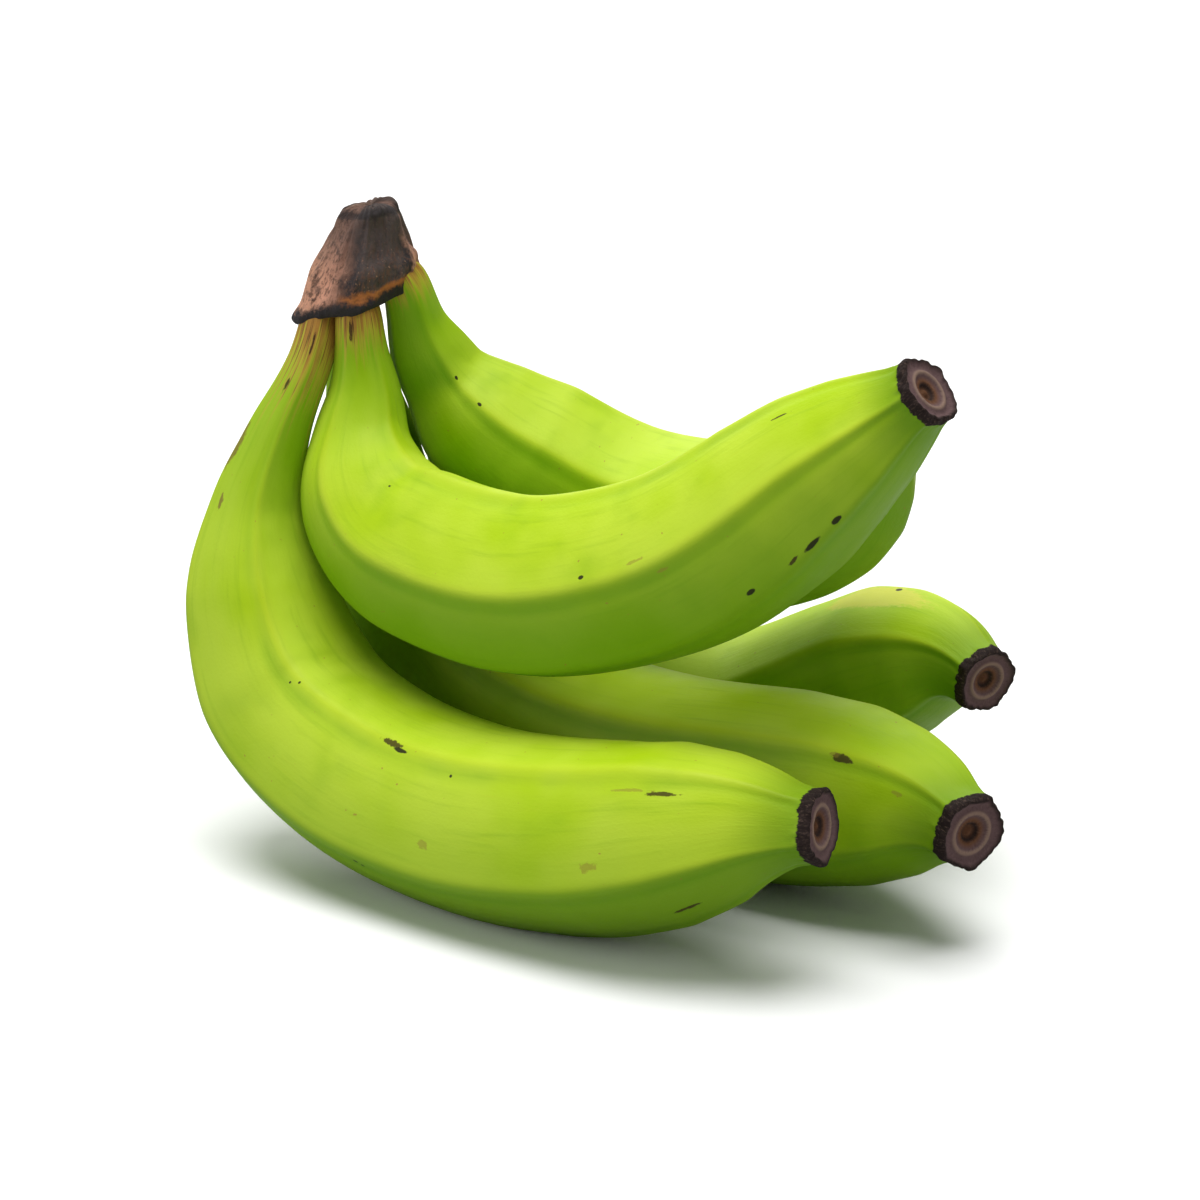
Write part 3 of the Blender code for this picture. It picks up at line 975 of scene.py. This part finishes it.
# %% Skins
MARK_COLOURS = {
    "scuff": srgb(62, 40, 18),
    "speck": srgb(30, 22, 12),
    "rub": srgb(150, 132, 48),
    "bruise": srgb(120, 88, 46),
    "yellow": srgb(226, 214, 84),
}
MARK_STRENGTH = {"scuff": 0.9, "speck": 0.95, "rub": 0.55, "bruise": 0.75, "yellow": 0.6}
MARK_RAGGED = {"scuff": 2.2, "speck": 0.8, "rub": 2.6, "bruise": 1.6, "yellow": 0.9}
SKINS = {
    "outer_near": {"seed": 1.7, "paleness": 0.62, "stain": 0.115, "marks": (
        (0.139, 0.587, 0.006, 0.016, "scuff"),
        (0.145, 0.600, 0.004, 0.010, "speck"),
        (0.178, 0.890, 0.005, 0.014, "scuff"),
        (0.172, 0.862, 0.003, 0.020, "rub"),
        (0.450, 0.880, 0.006, 0.014, "scuff"),
        (0.417, 0.502, 0.005, 0.009, "speck"),
        (0.356, 0.577, 0.004, 0.003, "speck"),
        (0.362, 0.583, 0.003, 0.002, "speck"),
        (0.283, 0.653, 0.008, 0.006, "rub"),
        (0.300, 0.824, 0.010, 0.008, "rub"),
        (0.139, 0.435, 0.003, 0.002, "speck"),
        (0.150, 0.423, 0.003, 0.002, "speck"),
        (0.161, 0.669, 0.003, 0.002, "speck"),
        (0.340, 0.165, 0.030, 0.024, "bruise"),
        (0.352, 0.160, 0.010, 0.018, "scuff"),
        (0.289, 0.213, 0.010, 0.008, "bruise"),
        (0.228, 0.100, 0.012, 0.008, "scuff"),
        (0.156, 0.059, 0.010, 0.012, "scuff"),
    )},
    "outer_middle": {"seed": 5.2, "paleness": 0.45, "stain": 0.05, "marks": (
        (0.106, 0.890, 0.009, 0.012, "scuff"),
        (0.102, 0.882, 0.005, 0.006, "rub"),
        (0.144, 0.946, 0.006, 0.006, "rub"),
    )},
    "outer_far": {"seed": 9.4, "paleness": 0.60, "stain": 0.05, "marks": (
        (0.950, 0.880, 0.050, 0.060, "yellow"),
        (0.917, 0.895, 0.006, 0.004, "speck"),
    )},
    "inner_near": {"seed": 13.1, "paleness": 0.60, "stain": 0.065, "marks": (
        (0.239, 0.603, 0.004, 0.004, "speck"),
        (0.122, 0.276, 0.003, 0.003, "speck"),
        (0.240, 0.667, 0.003, 0.012, "rub"),
        (0.272, 0.690, 0.003, 0.008, "rub"),
        (0.394, 0.858, 0.007, 0.007, "speck"),
        (0.394, 0.822, 0.006, 0.013, "speck"),
        (0.389, 0.797, 0.004, 0.007, "scuff"),
        (0.384, 0.745, 0.005, 0.006, "speck"),
        (0.117, 0.862, 0.003, 0.012, "scuff"),
        (0.211, 0.040, 0.012, 0.012, "scuff"),
    )},
    "inner_far": {"seed": 17.6, "paleness": 0.60, "stain": 0.05, "marks": (
        (0.078, 0.172, 0.006, 0.005, "speck"),
        (0.083, 0.230, 0.005, 0.004, "speck"),
    )},
}
PEEL_BUMP = 0.35
PEEL_BUMP_DEPTH = 0.0004  # metres
PEEL_SHINE = 0.16


def own_value(tree, name):
    """A number that the mesh carries at each of its points."""
    node = tree.nodes.new("ShaderNodeAttribute")
    node.attribute_name = name
    return node.outputs["Fac"]


def peel_skin(name, seed, paleness, stain, marks):
    """The material of one fruit, from its crown to its tip."""
    skin, shader = plain_material("peel_" + name, LIME[:3], 0.45)
    tree = skin.node_tree
    own_map = tree.nodes.new("ShaderNodeUVMap")
    own_map.uv_map = "UVMap"
    where = place_effect(tree, rolled_map, Map=own_map.outputs["UV"])
    # The peel's painted highlight and painted shade read the ridge, furrow and sunny values of the mesh.
    peel = place_effect(tree, green_peel, Along=where["Along"], Skin=where["Skin"],
                        Fibres=where["Fibres"], Seed=seed, Paleness=paleness, Stain=stain,
                        Neck=FRUIT[name]["neck"], Sunny=own_value(tree, "sunny"),
                        Ridge=own_value(tree, "ridge"), Furrow=own_value(tree, "furrow"))
    colour = peel["Colour"]
    for at_round, at_along, half_width, half_length, kind in marks:
        mask = place_effect(tree, one_mark, Round=where["Round"], Along=where["Along"], Skin=where["Skin"],
                            At_Round=at_round, At_Along=at_along, Half_Width=half_width,
                            Half_Length=half_length, Ragged=MARK_RAGGED[kind])["Mask"]
        strength = calculate(tree, "MULTIPLY", mask, MARK_STRENGTH[kind])
        colour = blend_colours(tree, strength, colour, MARK_COLOURS[kind])
    whole = place_effect(tree, dried_tip, Along=where["Along"], Skin=where["Skin"], Colour=colour,
                         Roughness=peel["Roughness"], Height=peel["Height"], Seed=seed)
    bump = tree.nodes.new("ShaderNodeBump")
    bump.inputs["Strength"].default_value = PEEL_BUMP
    bump.inputs["Distance"].default_value = PEEL_BUMP_DEPTH
    tree.links.new(whole["Height"], bump.inputs["Height"])
    tree.links.new(whole["Colour"], shader.inputs["Base Color"])
    tree.links.new(whole["Roughness"], shader.inputs["Roughness"])
    tree.links.new(bump.outputs["Normal"], shader.inputs["Normal"])
    shader.inputs["Specular IOR Level"].default_value = PEEL_SHINE
    return skin


for name, settings in SKINS.items():
    piece = fruit_pieces[name]
    piece.data.materials.clear()
    piece.data.materials.append(peel_skin(name, **settings))
    print(piece.name, "has", len(settings["marks"]), "marks")

# %% [markdown]
# ## The crown's dried skin
# Seen from one side the crown is tan and fibrous, from the next it is almost black, and a narrow face
# beside it is pinkish. The map's u says which way round the crown a point faces, so one ramp round the
# crown lays down those tones by direction. Streaks along the fibres and a crumbly grain then break them
# up, and the edges, at the foot and round the cut top, go black.

# %% Crown skin
CROWN_BLACK = srgb(30, 24, 26)
CROWN_GREY = srgb(74, 62, 58)
CROWN_BROWN = srgb(98, 66, 50)
CROWN_TAN = srgb(216, 162, 122)
CROWN_PINK = srgb(214, 156, 128)
CROWN_ORANGE = srgb(176, 104, 40)
ARC_TURN = 0.68  # where round the crown its foot is still fresh and orange
CORK_BUMP = 0.8
CORK_BUMP_DEPTH = 0.0006  # metres
FACE_SWAY = 0.10  # how far the lumps shift the edges between faces, as a share of a turn
FOOT_SWAY = 0.28  # how far they shift the colours of the foot and the brim, as a share of the height

crown_skin, crown_shader = plain_material("dried_crown_cork", CROWN_BROWN[:3], 0.9)
tree = crown_skin.node_tree
own_map = tree.nodes.new("ShaderNodeUVMap")
own_map.uv_map = "UVMap"
where = place_effect(tree, rolled_map, Map=own_map.outputs["UV"])
coordinates = tree.nodes.new("ShaderNodeTexCoord")
lumps = cloud(tree, coordinates.outputs["Object"], 260.0, 4.0, 0.65)
grain = cloud(tree, coordinates.outputs["Object"], 900.0, 5.0, 0.75)
fibres = cloud(tree, where["Fibres"], 9.0, 5.0, 0.7, 2.0)
swayed = calculate(tree, "ADD", where["Round"], swing(tree, lumps, FACE_SWAY))
tones = colour_steps(tree, swayed, [
    (0.0, CROWN_BROWN), (0.30, CROWN_TAN), (0.50, CROWN_PINK), (0.56, CROWN_BROWN), (0.59, CROWN_BLACK),
    (0.62, CROWN_GREY), (0.73, CROWN_GREY), (0.755, CROWN_BLACK), (0.78, CROWN_PINK), (0.90, CROWN_BROWN),
])
colour = tinted(tree, tones, step_up(tree, fibres, 0.48, 0.60), 0.8, CROWN_BROWN)
colour = tinted(tree, colour, step_up(tree, lumps, 0.54, 0.68), 0.7, CROWN_BLACK)
colour = tinted(tree, colour, step_up(tree, grain, 0.54, 0.66), 0.6, CROWN_BLACK)
pale_fibres = step_up(tree, cloud(tree, where["Fibres"], 15.0, 3.0, 0.6, 7.0), 0.62, 0.70)
colour = tinted(tree, colour, pale_fibres, 0.6, CROWN_TAN)
colour = tinted(tree, colour, step_up(tree, where["Along"], 0.30, 0.75), 0.7, CROWN_GREY)
foot = calculate(tree, "ADD", where["Along"], swing(tree, lumps, FOOT_SWAY))
off_arc = calculate(tree, "PINGPONG", calculate(tree, "SUBTRACT", where["Round"], ARC_TURN), 0.5)
arc = calculate(tree, "MULTIPLY", step_up(tree, off_arc, 0.14, 0.09), step_up(tree, foot, 0.20, 0.13))
colour = tinted(tree, colour, arc, 0.9, CROWN_ORANGE)
colour = blend_colours(tree, step_up(tree, foot, 0.13, 0.07), colour, CROWN_BLACK)
brim = calculate(tree, "MULTIPLY", step_up(tree, foot, 0.86, 0.94), step_up(tree, foot, 1.08, 1.0))
colour = tinted(tree, colour, brim, 0.8, CROWN_BLACK)
relief = calculate(tree, "ADD", calculate(tree, "MULTIPLY", fibres, 1.2), grain)
bump = tree.nodes.new("ShaderNodeBump")
bump.inputs["Strength"].default_value = CORK_BUMP
bump.inputs["Distance"].default_value = CORK_BUMP_DEPTH
tree.links.new(relief, bump.inputs["Height"])
tree.links.new(bump.outputs["Normal"], crown_shader.inputs["Normal"])
tree.links.new(colour, crown_shader.inputs["Base Color"])
roughness = calculate(tree, "MULTIPLY_ADD", grain, 0.3)
roughness.node.inputs[2].default_value = 0.65
tree.links.new(roughness, crown_shader.inputs["Roughness"])
crown_piece.data.materials.clear()
crown_piece.data.materials.append(crown_skin)
print("crown skin has", len(tree.nodes), "nodes")

# %% [markdown]
# ## Joining the frame
# Each fine piece rides on the body that its solid belongs to and stands for that solid, which is then hidden.

# %% Ride and replace
for name, piece in fruit_pieces.items():
    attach(piece, "root")
    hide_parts("banana_" + name)
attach(crown_piece, "root")
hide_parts("crown")
